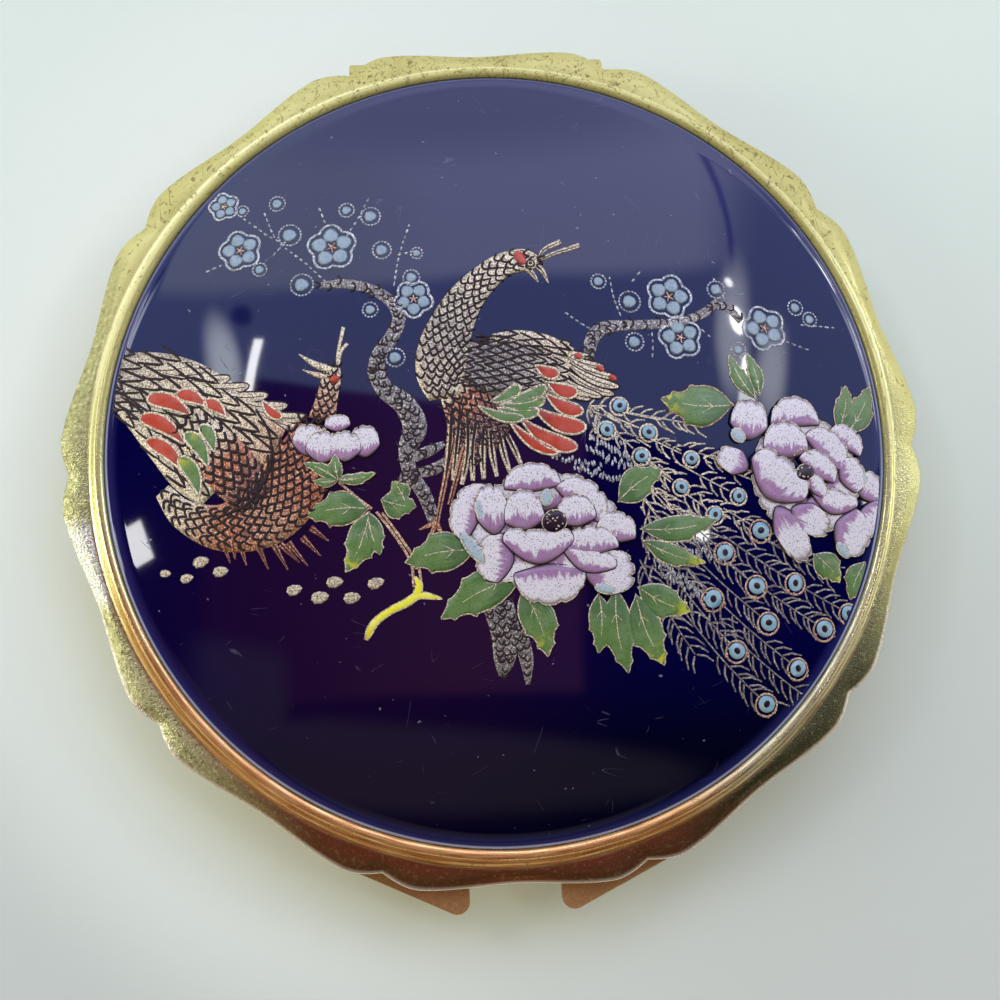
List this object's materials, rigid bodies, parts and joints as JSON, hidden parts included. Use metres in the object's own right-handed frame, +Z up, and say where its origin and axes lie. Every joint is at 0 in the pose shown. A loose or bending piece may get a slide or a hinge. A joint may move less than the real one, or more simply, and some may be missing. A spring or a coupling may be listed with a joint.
{
  "type": "powder compact",
  "caption": "Round scalloped gilt brass powder compact with a domed cobalt porcelain lid, rear hinge, mirror and an empty powder pan.",
  "frame": {"origin": "centre of the flat underside that the compact stands on", "axes": "+Z up through the dome, +Y towards the hinge, -Y towards the thumb notch, X along the hinge"},
  "size_m": [0.0828, 0.0839, 0.0192],
  "materials": {
    "gilt_brass": "bright gilt with fine scratches and dark pitting",
    "cobalt_glaze": "opaque glossy cobalt glaze over porcelain",
    "mirror_glass": "silvered glass",
    "gold_ink": "fired gold line work, slightly raised",
    "enamel": "raised opaque overglaze enamels in lilac, green, red and pale blue"
  },
  "bodies": {
    "pan": {"pan": "gilt_brass", "pan_knuckle_left": "gilt_brass", "pan_knuckle_right": "gilt_brass", "hinge_pin": "gilt_brass"},
    "lid": {"lid_frame": "gilt_brass", "porcelain_dome": "cobalt_glaze", "mirror_ring": "gilt_brass", "mirror": "mirror_glass", "lid_knuckle": "gilt_brass"}
  },
  "joints": [
    {"name": "lid_hinge", "type": "hinge", "parent": "pan", "child": "lid", "pos_m": [0, 0.03935, 0.00575], "axis": [-1, 0, 0], "range_deg": [0, 105]}
  ]
}
